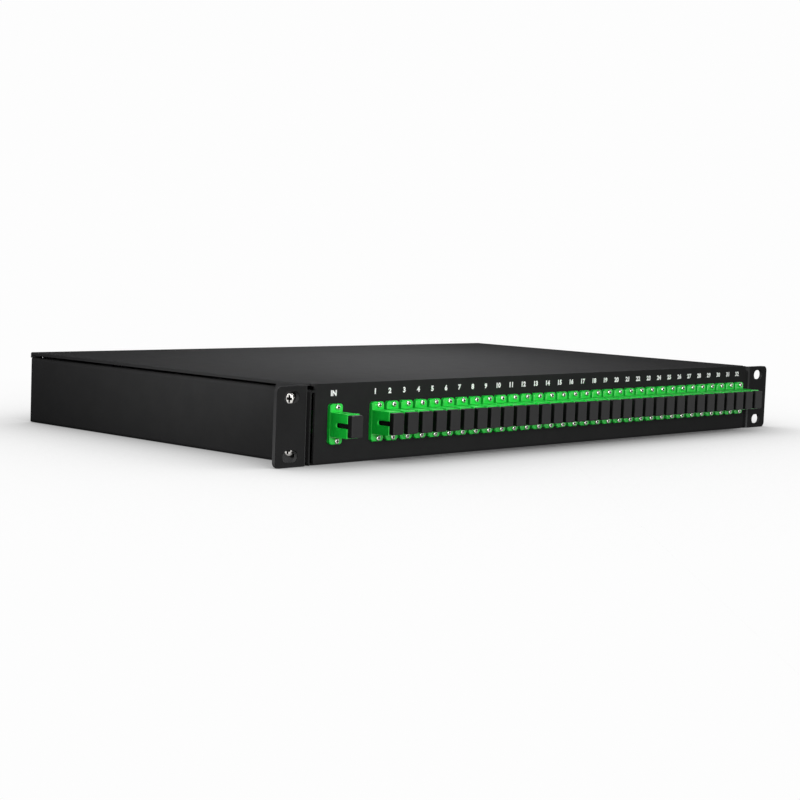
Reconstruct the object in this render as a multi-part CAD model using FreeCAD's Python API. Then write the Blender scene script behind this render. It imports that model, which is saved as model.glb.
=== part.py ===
import FreeCAD, Part
import math
import os

Vector = FreeCAD.Vector
os.makedirs("parts", exist_ok=True)

# A one-unit rack enclosure that splits one optical fibre into thirty-two.
# X runs to the right along the front, Y to the back and Z up. The origin is the
# middle of the rack ears' rear faces, which seat on the rack's rails.

# Row of ports along the front panel, which sets the chassis's width
port_count = 32
port_pitch = 11.9
port_left_margin = 18.6
port_right_margin = 14.0
input_gap = 32.7
ports_per_bank = 8

# Rack ears, folded from thick sheet
ear_height = 43.7
ear_width = 24.2
ear_sheet = 2.5
ear_inner_bend = 1.5
ear_corner_radius = 3.4
ear_flange_depth = 24.6
ear_flange_corner = 2.0
rack_slot_from_tip = 10.8
rack_slot_spacing = 31.75
rack_slot_height = 6.6
rack_slot_length = 11.2

# Folded tray and its cover
chassis_depth = 254.0
cover_stands_above_ear = 0.6
sheet = 1.2
inner_bend = 0.8
relief_past_bend = 0.6
corner_gap = 0.6
front_corner_gap = 2.6
side_wall_drop = 3.4
side_return_width = 8.0
rear_return_width = 12.0
rear_top_return_depth = 12.0
cover_sheet = 1.2
cover_lip_drop = 0.6
cover_edge_radius = 0.8
cover_front_gap = 0.3
cover_notch_depth = 3.0
cover_shoulder_gap = 0.3
cover_rear_lip_height = 14.0
cover_tongue_width = 20.0
cover_tongue_reach = 6.0
cover_tongue_spacing = 240.0
cover_rail_height = 4.6
cover_rail_depth = 11.0
cover_rail_end_gap = 12.0
sheet_clearance = 0.1

# Adapters
adapter_width = 9.4
adapter_height = 13.2
adapter_front_reach = 15.2
adapter_rear_reach = 13.5
adapter_side_wall = 0.9
adapter_top_wall = 1.9
adapter_flange_side = 0.1
adapter_flange_end = 1.95
adapter_flange_thickness = 2.3
adapter_flange_cut = 1.1
adapter_flange_round = 1.3
adapter_flange_bevel = 0.4
adapter_rim_bevel = 0.3
keyway_height = 2.7
keyway_length = 8.6
keyway_bevel = 0.35
adapter_screw_offset = 2.6
adapter_screw_clearance = 0.15
panel_cutout_clearance = 0.2

# Screws, nuts and rivets
adapter_screw_radius = 1.0
adapter_screw_head_radius = 1.55
adapter_screw_head_height = 1.3
adapter_nut_across_flats = 4.0
adapter_nut_height = 1.6
ear_screw_radius = 2.0
ear_screw_head_radius = 3.2
ear_screw_head_height = 2.3
ear_screw_rise = 7.85
ear_screw_drop = 5.05
ear_screw_setback = 10.4
ear_washer_radius = 3.9
ear_washer_thickness = 0.6
cover_screw_radius = 1.5
cover_screw_head_radius = 2.8
cover_screw_head_height = 1.9
cover_screw_spacing = 150.0
cover_screw_drop = 8.5
clinch_nut_height = 2.4
clinch_nut_wall = 1.0
screw_end = 0.6
screw_hole_clearance = 0.2
thread_clearance = 0.05
head_round_share = 0.45
recess_depth_share = 0.6
recess_reach_share = 0.66
recess_arm_share = 0.22
rivet_radius = 1.6
rivet_head_radius = 2.8
rivet_head_height = 1.0
rivet_round_share = 0.8
rivet_tail_share = 1.3
rivet_rise = 8.0
rivet_drop = 10.8

# Dust caps
cap_side_inset = 0.3
cap_end_inset = 0.5
cap_head_reach = 3.2
cap_head_radius = 0.7
cap_seat_gap = 0.05
cap_plug_clearance = 0.3
cap_plug_length = 7.6
cap_plug_bevel = 0.5

# Ferrule parts inside each adapter
ferrule_radius = 1.25
ferrule_length = 12.0
ferrule_butt = 0.4
ferrule_tip_bevel = 0.4
sleeve_fit_gap = 0.02
sleeve_wall = 0.33
sleeve_length = 11.4
sleeve_slit = 0.4
holder_web_thickness = 1.6
holder_fit_gap = 0.05
holder_bore_gap = 0.06
holder_tube_wall = 0.74
holder_tube_length = 12.4
tube_clearance = 0.5

# Pigtail plugs, boots and fibres
plug_clearance = 0.2
plug_front_gap = 0.4
plug_length = 23.0
plug_corner_radius = 0.6
plug_nose_radius = 2.2
plug_nose_length = 4.0
boot_length = 22.0
boot_wall = 0.8
boot_tip_radius = 1.4
boot_fibre_gap = 0.1
boot_grip = 3.0
fibre_diameter = 0.9
fibre_bend_radius = 15.0
fibre_straight_share = 0.8

# Splitter case, which holds the waveguide chip
case_exit_pitch = 3.4
case_exit_margin = 5.6
case_exit_height = 9.0
case_exit_gap = 0.1
case_depth = 80.0
case_height = 16.0
case_wall = 1.6
case_corner_radius = 3.0
case_rear_gap = 15.5
case_lid_thickness = 2.0
case_tab_length = 10.0
case_tab_width = 16.0
case_tab_thickness = 2.4
lid_screw_radius = 1.0
lid_screw_head_radius = 1.9
lid_screw_head_height = 1.2
lid_screw_inset = 5.0
lid_screw_length = 8.0
lid_boss_wall = 1.75
module_screw_radius = 1.5
module_screw_head_radius = 2.8
module_screw_head_height = 1.9
module_screw_end_gap = 0.3
chip_length = 40.0
chip_width = 4.0
chip_height = 4.0
chip_edge_radius = 0.5
chip_post_height = 4.0
chip_post_width = 3.0
chip_post_length = 8.0

# How far a cutting tool runs past a face, how deep a joined piece is let in, and how
# near to a plane an edge is taken to lie on it
overcut = 1.0
root_depth = 0.1
on_plane = 0.01

# Places worked out from the sizes above
chassis_width = port_left_margin + input_gap + port_pitch * (port_count - 1) + port_right_margin
half_width = chassis_width / 2
inner_half_width = half_width - sheet
front_half_width = inner_half_width - front_corner_gap
rear_half_width = inner_half_width - corner_gap
ear_tip = half_width + ear_width
rack_slot_x = ear_tip - rack_slot_from_tip
rack_slot_z = rack_slot_spacing / 2
panel_face = -ear_sheet
panel_back = panel_face + sheet
floor_z = -ear_height / 2
floor_top = floor_z + sheet
top_z = ear_height / 2 + cover_stands_above_ear
cover_under = top_z - cover_sheet
side_wall_top = top_z - side_wall_drop
outer_bend = inner_bend + sheet
corner_relief = outer_bend + relief_past_bend
rear_face = panel_face + chassis_depth
rear_wall_face = rear_face - sheet - sheet_clearance
rear_wall_back = rear_wall_face - sheet
input_port_x = port_left_margin - half_width
first_port_x = input_port_x + input_gap
port_xs = [first_port_x + port_pitch * i for i in range(port_count)]
all_port_xs = [input_port_x] + port_xs
port_z = (floor_z + top_z) / 2
adapter_front = panel_face - adapter_front_reach
adapter_back = panel_face + adapter_rear_reach
adapter_flange_front = panel_face - adapter_flange_thickness
adapter_screw_z = adapter_height / 2 + adapter_screw_offset
cavity_width = adapter_width - 2 * adapter_side_wall
cavity_height = adapter_height - 2 * adapter_top_wall
sleeve_inner_radius = ferrule_radius + sleeve_fit_gap
sleeve_outer_radius = sleeve_inner_radius + sleeve_wall
holder_bore_radius = sleeve_outer_radius + holder_bore_gap
holder_tube_radius = holder_bore_radius + holder_tube_wall
tube_pocket_radius = holder_tube_radius + tube_clearance
cap_seat = adapter_front - cap_seat_gap
cap_front = cap_seat - cap_head_reach
socket_middle = (adapter_front + adapter_back) / 2
ferrule_front = socket_middle + ferrule_butt
ferrule_back = ferrule_front + ferrule_length
plug_front = socket_middle + holder_web_thickness / 2 + plug_front_gap
plug_back = plug_front + plug_length
boot_front = plug_back - plug_nose_length
boot_back = plug_back + boot_length
ear_screw_y = panel_face + ear_screw_setback
ear_screw_zs = [floor_z + ear_screw_rise, side_wall_top - ear_screw_drop]
cover_screw_xs = [cover_screw_spacing * i for i in (-1, 0, 1)]
cover_screw_z = top_z - cover_screw_drop
rivet_zs = [floor_z + rivet_rise, side_wall_top - rivet_drop]
rivet_x = half_width - rear_return_width / 2
case_width = case_exit_pitch * port_count + 2 * case_exit_margin
case_back_y = rear_wall_back - case_rear_gap
case_front_y = case_back_y - case_depth
case_floor = floor_top + case_wall
case_rim = floor_top + case_height - case_lid_thickness
case_exit_z = floor_top + case_exit_height
exit_xs = [case_exit_pitch * (i - port_count / 2) for i in range(port_count + 1)]
module_screw_xs = [side * (case_width + case_tab_length) / 2 for side in (-1, 1)]
module_screw_y = (case_front_y + case_back_y) / 2
lid_screw_x = case_width / 2 - lid_screw_inset
lid_screw_ys = [case_front_y + lid_screw_inset, case_back_y - lid_screw_inset]
lid_screw_places = [(side * lid_screw_x, y) for side in (-1, 1) for y in lid_screw_ys]


def save(name, solids):
    """Write one node, as one solid or as a group of separate solids."""
    solids = solids if isinstance(solids, list) else [solids]
    shape = solids[0] if len(solids) == 1 else Part.makeCompound(solids)
    shape.exportStep("parts/" + name + ".step")


def box(x_range, y_range, z_range):
    """A box between the two values given for each axis, in either order."""
    low = [min(pair) for pair in (x_range, y_range, z_range)]
    size = [abs(pair[1] - pair[0]) for pair in (x_range, y_range, z_range)]
    return Part.makeBox(size[0], size[1], size[2], Vector(low[0], low[1], low[2]))


def rounded_path(points, radii, closed=True):
    """Edges through the points, with a tangent arc of the given radius at each corner."""
    count = len(points)
    entries, exits, arcs = [], [], []
    for i, point in enumerate(points):
        radius = radii[i]
        if radius <= 0 or (not closed and i in (0, count - 1)):
            entries.append(point)
            exits.append(point)
            arcs.append(None)
            continue
        to_last = (points[i - 1] - point).normalize()
        to_next = (points[(i + 1) % count] - point).normalize()
        half = to_last.getAngle(to_next) / 2
        reach = radius / math.tan(half)
        bisector = (to_last + to_next).normalize()
        crown = point + bisector * (radius / math.sin(half) - radius)
        start, end = point + to_last * reach, point + to_next * reach
        entries.append(start)
        exits.append(end)
        arcs.append(Part.Arc(start, crown, end).toShape())
    edges = []
    for i in range(count):
        if arcs[i] is not None:
            edges.append(arcs[i])
        if closed or i < count - 1:
            start, end = exits[i], entries[(i + 1) % count]
            if (end - start).Length > 1e-6:
                edges.append(Part.LineSegment(start, end).toShape())
    return Part.Wire(Part.__sortEdges__(edges))


def prism(points, radii, travel):
    """A closed rounded outline swept in a straight line."""
    return Part.Face(rounded_path(points, radii)).extrude(travel)


def drilled(shape, tools):
    """The shape with every tool cut away in one go."""
    return shape.cut(Part.makeCompound(tools))


def rod(radius, start, travel):
    """A round bar from a start point along a travel vector."""
    return Part.makeCylinder(radius, travel.Length, start, travel)


def rectangle(half_width_x, half_height_z, y):
    """The corners of an upright rectangle about the Y axis."""
    signs = ((-1, -1), (1, -1), (1, 1), (-1, 1))
    return [Vector(sx * half_width_x, y, sz * half_height_z) for sx, sz in signs]


def cross_recess(radius, depth, seat, inward):
    """The cross-shaped hollow in a screw's head, cut inward from the head's outer face."""
    arm = radius * recess_arm_share
    reach = radius * recess_reach_share
    across = Vector(0, 1, 0) if inward.x else Vector(1, 0, 0)
    up = inward.cross(across)
    arms = []
    for wide, tall in ((reach, arm), (arm, reach)):
        signs = ((-1, -1), (1, -1), (1, 1), (-1, 1))
        corners = [seat + across * (sx * wide) + up * (sz * tall) for sx, sz in signs]
        arms.append(prism(corners, [0] * 4, inward * depth))
    return arms[0].fuse(arms[1])


def pan_screw(seat, outward, shank_radius, head_radius, head_height, length):
    """A pan-head cross screw whose head stands on the seat and whose shank runs the other way."""
    top = seat + outward * head_height
    head = rod(head_radius, seat, outward * head_height)
    rim = [edge for edge in head.Edges if edge.CenterOfMass.isEqual(top, on_plane)]
    head = head.makeFillet(head_height * head_round_share, rim)
    screw = head.fuse(rod(shank_radius, seat, outward * -length))
    recess = cross_recess(head_radius, head_height * recess_depth_share, top, outward * -1)
    return screw.cut(recess).removeSplitter()


def round_nut(seat, outward, screw_radius, height):
    """A clinched nut: a round collar that stands on the sheet's inner face."""
    collar = rod(screw_radius + clinch_nut_wall, seat, outward * height)
    hole = rod(screw_radius + thread_clearance, seat, outward * height)
    return collar.cut(hole)


def make_channel():
    """The base with its side walls and their returns, trimmed for the end walls' bends."""
    tip = half_width - side_return_width
    under_return = side_wall_top - sheet
    right = [
        (inner_half_width, floor_top, inner_bend), (inner_half_width, under_return, inner_bend),
        (tip, under_return, 0), (tip, side_wall_top, 0),
        (half_width, side_wall_top, outer_bend), (half_width, floor_z, outer_bend)]
    left = [(-x, z, bend) for x, z, bend in reversed(right)]
    points = [Vector(x, panel_face, z) for x, z, bend in right + left]
    bends = [bend for x, z, bend in right + left]
    channel = prism(points, bends, Vector(0, chassis_depth, 0))
    x_range = (-inner_half_width, inner_half_width)
    front_trim = box(x_range, (panel_face, panel_face + corner_relief), (floor_z, floor_top))
    rear_trim = box(x_range, (rear_wall_face - corner_relief, rear_face), (floor_z, floor_top))
    return channel.cut(front_trim).cut(rear_trim)


def make_front_panel():
    """The front wall, folded up from the base."""
    front_end = panel_face + corner_relief
    outline = [
        (front_end, floor_z, 0), (panel_face, floor_z, outer_bend), (panel_face, top_z, 0),
        (panel_back, top_z, 0), (panel_back, floor_top, inner_bend), (front_end, floor_top, 0)]
    points = [Vector(-front_half_width, y, z) for y, z, bend in outline]
    bends = [bend for y, z, bend in outline]
    return prism(points, bends, Vector(2 * front_half_width, 0, 0))


def make_rear_wall():
    """The rear wall with its top return, narrower above so that it passes the side returns."""
    rear_end = rear_wall_face - corner_relief
    return_end = rear_wall_face - rear_top_return_depth
    under_return = cover_under - sheet
    outline = [
        (rear_end, floor_z, 0), (rear_wall_face, floor_z, outer_bend),
        (rear_wall_face, cover_under, outer_bend), (return_end, cover_under, 0),
        (return_end, under_return, 0), (rear_wall_back, under_return, inner_bend),
        (rear_wall_back, floor_top, inner_bend), (rear_end, floor_top, 0)]
    points = [Vector(-rear_half_width, y, z) for y, z, bend in outline]
    bends = [bend for y, z, bend in outline]
    rear = prism(points, bends, Vector(2 * rear_half_width, 0, 0))
    shoulder_x = half_width - side_return_width - corner_gap
    shoulder_z = side_wall_top - sheet - corner_gap
    for side in (-1, 1):
        x_range = (side * shoulder_x, side * half_width)
        rear = rear.cut(box(x_range, (return_end - overcut, rear_face), (shoulder_z, top_z)))
    return rear


def turn_side_wall_end(tray, side):
    """The tray with one side wall's rear end turned inwards behind the rear wall."""
    bend_start = rear_face - outer_bend
    low = floor_z + corner_relief
    high = side_wall_top - sheet - corner_gap
    outline = [
        (half_width, bend_start - sheet, 0), (half_width, rear_face, outer_bend),
        (half_width - rear_return_width, rear_face, 0),
        (half_width - rear_return_width, rear_face - sheet, 0),
        (inner_half_width, rear_face - sheet, inner_bend), (inner_half_width, bend_start - sheet, 0)]
    points = [Vector(side * x, y, low) for x, y, bend in outline]
    bends = [bend for x, y, bend in outline]
    tray = tray.fuse(prism(points, bends, Vector(0, 0, high - low)))
    # The bend takes the place of the side wall's square end
    x_inner = side * (inner_half_width - on_plane)
    z_range = (floor_z - overcut, top_z)
    square = box((x_inner, side * (half_width + overcut)), (bend_start, rear_face + overcut), z_range)
    centre = Vector(side * (half_width - outer_bend), bend_start, floor_z - overcut)
    bend = rod(outer_bend, centre, Vector(0, 0, top_z - floor_z + 2 * overcut))
    return tray.cut(square.cut(bend))


def tray_holes():
    """Cutting tools for the corner reliefs, the screw and rivet holes and the port cut-outs."""
    tools = []
    through_sheet = sheet + 2 * overcut
    for side in (-1, 1):
        x_range = (side * (front_half_width - relief_past_bend), side * inner_half_width)
        y_range = (panel_face - overcut, panel_face + corner_relief)
        tools.append(box(x_range, y_range, (floor_z - overcut, floor_top)))
        for z in ear_screw_zs:
            start = Vector(side * (inner_half_width - overcut), ear_screw_y, z)
            radius = ear_screw_radius + screw_hole_clearance
            tools.append(rod(radius, start, Vector(side * through_sheet, 0, 0)))
        for z in rivet_zs:
            start = Vector(side * rivet_x, rear_wall_back - overcut, z)
            travel = Vector(0, rear_face - rear_wall_back + 2 * overcut, 0)
            tools.append(rod(rivet_radius + thread_clearance, start, travel))
    for x in cover_screw_xs:
        start = Vector(x, rear_wall_back - overcut, cover_screw_z)
        tools.append(rod(cover_screw_radius + screw_hole_clearance, start, Vector(0, through_sheet, 0)))
    for x in module_screw_xs:
        start = Vector(x, module_screw_y, floor_z - overcut)
        tools.append(rod(module_screw_radius + thread_clearance, start, Vector(0, 0, through_sheet)))
    half_x = adapter_width / 2 + panel_cutout_clearance
    half_z = adapter_height / 2 + panel_cutout_clearance
    y_range = (panel_face - overcut, panel_back + overcut)
    for x in all_port_xs:
        tools.append(box((x - half_x, x + half_x), y_range, (port_z - half_z, port_z + half_z)))
        for side in (-1, 1):
            start = Vector(x, panel_face - overcut, port_z + side * adapter_screw_z)
            radius = adapter_screw_radius + adapter_screw_clearance
            tools.append(rod(radius, start, Vector(0, through_sheet, 0)))
    return tools


def make_tray():
    """One folded blank: base, front panel, side walls with returns, and rear wall."""
    tray = make_channel().fuse(make_front_panel()).fuse(make_rear_wall())
    for side in (-1, 1):
        tray = turn_side_wall_end(tray, side)
    return drilled(tray, tray_holes()).removeSplitter()


def make_cover_rail():
    """An angle welded behind the top of the front panel, which carries the cover's front edge."""
    half = front_half_width - cover_rail_end_gap
    low, high = cover_under - cover_rail_height, cover_under
    tip = panel_back + cover_rail_depth
    outline = [
        (panel_back, low, 0), (panel_back, high, outer_bend), (tip, high, 0),
        (tip, high - sheet, 0), (panel_back + sheet, high - sheet, inner_bend), (panel_back + sheet, low, 0)]
    points = [Vector(-half, y, z) for y, z, bend in outline]
    bends = [bend for y, z, bend in outline]
    return prism(points, bends, Vector(2 * half, 0, 0))


def make_cover():
    """The lid: short lips at the sides, a screwed lip behind, two tongues and notched front corners."""
    front = panel_back + cover_front_gap
    cover = box((-half_width, half_width), (front, rear_face), (cover_under, top_z))
    for side in (-1, 1):
        x_range = (side * (half_width - cover_sheet), side * half_width)
        cover = cover.fuse(box(x_range, (front, rear_face), (cover_under - cover_lip_drop, cover_under)))
    lip_half = half_width - rear_return_width - corner_gap
    lip_front = rear_wall_face + sheet_clearance
    lip_low = top_z - cover_rear_lip_height
    cover = cover.fuse(box((-lip_half, lip_half), (lip_front, rear_face), (lip_low, cover_under)))
    shoulder_low = side_wall_top + cover_shoulder_gap
    shoulders = box((-half_width, half_width), (lip_front, rear_face), (shoulder_low, cover_under))
    cover = cover.fuse(shoulders).removeSplitter()

    def on_rim(edge):
        middle = edge.CenterOfMass
        on_top = abs(middle.z - top_z) < on_plane
        upright = edge.BoundBox.ZLength > cover_sheet and edge.BoundBox.ZMax > top_z - on_plane
        return on_top or (upright and abs(abs(middle.x) - half_width) < on_plane)

    cover = cover.makeFillet(cover_edge_radius, [edge for edge in cover.Edges if on_rim(edge)])
    drop_front = panel_back + cover_rail_depth + corner_gap
    tongue_top = cover_under - sheet - sheet_clearance
    tongue_low = tongue_top - cover_sheet
    tongue_front = panel_back + cover_rail_depth - cover_tongue_reach
    tongue_back = drop_front + cover_sheet
    for side in (-1, 1):
        middle = side * cover_tongue_spacing / 2
        x_range = (middle - cover_tongue_width / 2, middle + cover_tongue_width / 2)
        cover = cover.fuse(box(x_range, (drop_front, tongue_back), (tongue_low, cover_under)))
        cover = cover.fuse(box(x_range, (tongue_front, tongue_back), (tongue_low, tongue_top)))
    tools = []
    for side in (-1, 1):
        x_range = (side * front_half_width, side * (half_width + overcut))
        tools.append(box(x_range, (front - overcut, front + cover_notch_depth), (floor_z, top_z + overcut)))
    for x in cover_screw_xs:
        start = Vector(x, rear_wall_face, cover_screw_z)
        radius = cover_screw_radius + screw_hole_clearance
        tools.append(rod(radius, start, Vector(0, sheet + 2 * overcut, 0)))
    return drilled(cover, tools).removeSplitter()


def make_ear_bracket(side):
    """An L bracket: the ear with its two rack slots, and the flange screwed to the side wall."""
    flange_end = panel_face + ear_flange_depth
    outline = [
        (half_width, panel_face, ear_inner_bend + ear_sheet), (ear_tip, panel_face, 0), (ear_tip, 0, 0),
        (half_width + ear_sheet, 0, ear_inner_bend), (half_width + ear_sheet, flange_end, 0),
        (half_width, flange_end, 0)]
    points = [Vector(side * x, y, floor_z) for x, y, bend in outline]
    bends = [bend for x, y, bend in outline]
    bracket = prism(points, bends, Vector(0, 0, ear_height))

    def lies_flat(edge):
        return edge.BoundBox.ZLength < on_plane

    def ear_corner(edge):
        at_tip = abs(abs(edge.CenterOfMass.x) - ear_tip) < on_plane
        return lies_flat(edge) and at_tip and edge.BoundBox.YLength > on_plane

    def flange_corner(edge):
        at_end = abs(edge.CenterOfMass.y - flange_end) < on_plane
        return lies_flat(edge) and at_end and edge.BoundBox.XLength > on_plane

    bracket = bracket.makeFillet(ear_corner_radius, [edge for edge in bracket.Edges if ear_corner(edge)])
    bracket = bracket.makeFillet(ear_flange_corner, [edge for edge in bracket.Edges if flange_corner(edge)])

    tools = []
    half_length, half_height = rack_slot_length / 2, rack_slot_height / 2
    for z_side in (-1, 1):
        middle = Vector(side * rack_slot_x, -overcut, z_side * rack_slot_z)
        slot = [corner + middle for corner in rectangle(half_length, half_height, panel_face)]
        tools.append(prism(slot, [half_height] * 4, Vector(0, ear_sheet + 2 * overcut, 0)))
    for z in ear_screw_zs:
        start = Vector(side * (half_width - overcut), ear_screw_y, z)
        radius = ear_screw_radius + screw_hole_clearance
        tools.append(rod(radius, start, Vector(side * (ear_sheet + 2 * overcut), 0, 0)))
    return drilled(bracket, tools)


def make_ear_screws():
    """Four pan-head screws that hold the ear brackets to the side walls, each with its washer."""
    length = ear_washer_thickness + ear_sheet + sheet + clinch_nut_height + screw_end
    solids = []
    for side in (-1, 1):
        outward = Vector(side, 0, 0)
        for z in ear_screw_zs:
            foot = Vector(side * (half_width + ear_sheet), ear_screw_y, z)
            travel = outward * ear_washer_thickness
            seat = foot + travel
            solids.append(pan_screw(seat, outward, ear_screw_radius,
                                    ear_screw_head_radius, ear_screw_head_height, length))
            ring = rod(ear_washer_radius, foot, travel)
            solids.append(ring.cut(rod(ear_screw_radius + thread_clearance, foot, travel)))
    return solids


def make_clinch_nuts():
    """Nuts pressed into the side walls for the brackets and into the rear wall for the cover."""
    nuts = []
    for side in (-1, 1):
        for z in ear_screw_zs:
            seat = Vector(side * inner_half_width, ear_screw_y, z)
            nuts.append(round_nut(seat, Vector(-side, 0, 0), ear_screw_radius, clinch_nut_height))
    for x in cover_screw_xs:
        seat = Vector(x, rear_wall_back, cover_screw_z)
        nuts.append(round_nut(seat, Vector(0, -1, 0), cover_screw_radius, clinch_nut_height))
    return nuts


def make_cover_screws():
    """Three pan-head screws that hold the cover's rear lip."""
    length = rear_face - rear_wall_back + clinch_nut_height + screw_end
    screws = []
    for x in cover_screw_xs:
        seat = Vector(x, rear_face, cover_screw_z)
        screws.append(pan_screw(seat, Vector(0, 1, 0), cover_screw_radius,
                                cover_screw_head_radius, cover_screw_head_height, length))
    return screws


def make_rear_rivets():
    """Blind rivets that hold the rear wall to the side walls' returns."""
    head_top = rear_face + rivet_head_height
    rivets = []
    for side in (-1, 1):
        for z in rivet_zs:
            head = rod(rivet_head_radius, Vector(side * rivet_x, rear_face, z), Vector(0, rivet_head_height, 0))
            rim = [edge for edge in head.Edges if abs(edge.CenterOfMass.y - head_top) < on_plane]
            head = head.makeFillet(rivet_head_height * rivet_round_share, rim)
            inside = Vector(side * rivet_x, rear_wall_back, z)
            shank = rod(rivet_radius, inside, Vector(0, rear_face - rear_wall_back, 0))
            tail = rod(rivet_radius * rivet_tail_share, inside, Vector(0, -rivet_head_height, 0))
            rivets.append(head.fuse(shank).fuse(tail).removeSplitter())
    return rivets


def make_keyway(mouth, inward):
    """The cutting tool for one keyway: a round-ended slot in the adapter's left wall, bevelled outside."""
    wall_face = -adapter_width / 2
    end = mouth + inward * (keyway_length - keyway_height / 2)
    centre = Vector(0, end, 0)

    def outline(half_height, x):
        """The slot's outline at X, open past the mouth and round at its end."""
        low, high = Vector(x, end, -half_height), Vector(x, end, half_height)
        past_low = Vector(x, mouth - inward * overcut, -half_height)
        past_high = Vector(x, mouth - inward * overcut, half_height)
        crown = centre + Vector(x, inward * half_height, 0)
        return Part.Wire([
            Part.LineSegment(past_low, low).toShape(), Part.Arc(low, crown, high).toShape(),
            Part.LineSegment(high, past_high).toShape(), Part.LineSegment(past_high, past_low).toShape()])

    half_key = keyway_height / 2
    slot = Part.Face(outline(half_key, wall_face - overcut))
    slot = slot.extrude(Vector(adapter_side_wall + 2 * overcut, 0, 0))
    flare = Part.makeLoft(
        [outline(half_key + keyway_bevel, wall_face), outline(half_key, wall_face + keyway_bevel)], True, True)
    return slot.fuse(flare)


def make_adapter():
    """One flanged adapter, its port axis at X = 0 and its flange seated on the panel."""
    half_w, half_h = adapter_width / 2, adapter_height / 2
    body = box((-half_w, half_w), (adapter_front, adapter_back), (-half_h, half_h))

    def on_end(edge):
        middle = edge.CenterOfMass.y
        return abs(middle - adapter_front) < on_plane or abs(middle - adapter_back) < on_plane

    body = body.makeChamfer(adapter_rim_bevel, [edge for edge in body.Edges if on_end(edge)])
    flange_w = half_w + adapter_flange_side
    flange_h = adapter_screw_z + adapter_flange_end
    cut_w, cut_h = flange_w - adapter_flange_cut, flange_h - adapter_flange_cut
    outline = []
    for sx, sz in ((1, 1), (-1, 1), (-1, -1), (1, -1)):
        near_side = Vector(sx * flange_w, panel_face, sz * cut_h)
        near_end = Vector(sx * cut_w, panel_face, sz * flange_h)
        outline += [near_side, near_end] if sx == sz else [near_end, near_side]
    flange = prism(outline, [adapter_flange_round] * len(outline), Vector(0, -adapter_flange_thickness, 0))
    front_edges = [e for e in flange.Edges if abs(e.CenterOfMass.y - adapter_flange_front) < on_plane]
    flange = flange.makeChamfer(adapter_flange_bevel, front_edges)
    cavity = box((-cavity_width / 2, cavity_width / 2), (adapter_front - overcut, adapter_back + overcut),
                 (-cavity_height / 2, cavity_height / 2))
    tools = [cavity, make_keyway(adapter_front, 1), make_keyway(adapter_back, -1)]
    for side in (-1, 1):
        start = Vector(0, adapter_flange_front - overcut, side * adapter_screw_z)
        radius = adapter_screw_radius + adapter_screw_clearance
        tools.append(rod(radius, start, Vector(0, adapter_flange_thickness + 2 * overcut, 0)))
    return drilled(body.fuse(flange), tools).removeSplitter()


def make_sleeve_holder():
    """The adapter's middle web with the tube that keeps the alignment sleeve."""
    half_w = cavity_width / 2 - holder_fit_gap
    half_h = cavity_height / 2 - holder_fit_gap
    half_web = holder_web_thickness / 2
    web = box((-half_w, half_w), (socket_middle - half_web, socket_middle + half_web), (-half_h, half_h))
    start = Vector(0, socket_middle - holder_tube_length / 2, 0)
    travel = Vector(0, holder_tube_length, 0)
    return web.fuse(rod(holder_tube_radius, start, travel)).cut(rod(holder_bore_radius, start, travel))


def make_alignment_sleeve():
    """A slit ceramic tube that lines the two ferrules up."""
    start = Vector(0, socket_middle - sleeve_length / 2, 0)
    travel = Vector(0, sleeve_length, 0)
    tube = rod(sleeve_outer_radius, start, travel).cut(rod(sleeve_inner_radius, start, travel))
    y_range = (start.y - overcut, start.y + sleeve_length + overcut)
    slit = box((-sleeve_slit / 2, sleeve_slit / 2), y_range, (0, sleeve_outer_radius + overcut))
    return tube.cut(slit)


def make_adapter_screw(side):
    """The screw above or below a port, which holds the adapter's flange to the panel."""
    seat = Vector(0, adapter_flange_front, side * adapter_screw_z)
    length = adapter_flange_thickness + sheet + adapter_nut_height + screw_end
    return pan_screw(seat, Vector(0, -1, 0), adapter_screw_radius, adapter_screw_head_radius,
                     adapter_screw_head_height, length)


def make_adapter_nut(side):
    """The six-sided nut of an adapter's screw, behind the panel."""
    corner = adapter_nut_across_flats / math.sqrt(3)
    middle = Vector(0, panel_back, side * adapter_screw_z)
    points = []
    for i in range(6):
        angle = math.radians(60 * i + 30)
        points.append(middle + Vector(corner * math.cos(angle), 0, corner * math.sin(angle)))
    nut = prism(points, [0] * 6, Vector(0, adapter_nut_height, 0))
    return nut.cut(rod(adapter_screw_radius + thread_clearance, middle, Vector(0, adapter_nut_height, 0)))


def make_dust_cap():
    """A moulded cap: a square head to grip and a hollow plug that slips over the sleeve's tube."""
    half_w, half_h = adapter_width / 2 - cap_side_inset, adapter_height / 2 - cap_end_inset
    head = box((-half_w, half_w), (cap_front, cap_seat), (-half_h, half_h))
    head = head.makeFillet(cap_head_radius, [e for e in head.Edges if e.CenterOfMass.y < cap_seat - on_plane])
    plug_w, plug_h = cavity_width / 2 - cap_plug_clearance, cavity_height / 2 - cap_plug_clearance
    tip = cap_seat + cap_plug_length
    plug = box((-plug_w, plug_w), (cap_seat, tip), (-plug_h, plug_h))
    plug = plug.makeChamfer(cap_plug_bevel, [e for e in plug.Edges if e.CenterOfMass.y > tip - on_plane])
    bore = rod(tube_pocket_radius, Vector(0, cap_seat, 0), Vector(0, cap_plug_length + overcut, 0))
    return head.fuse(plug).cut(bore).removeSplitter()


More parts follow.
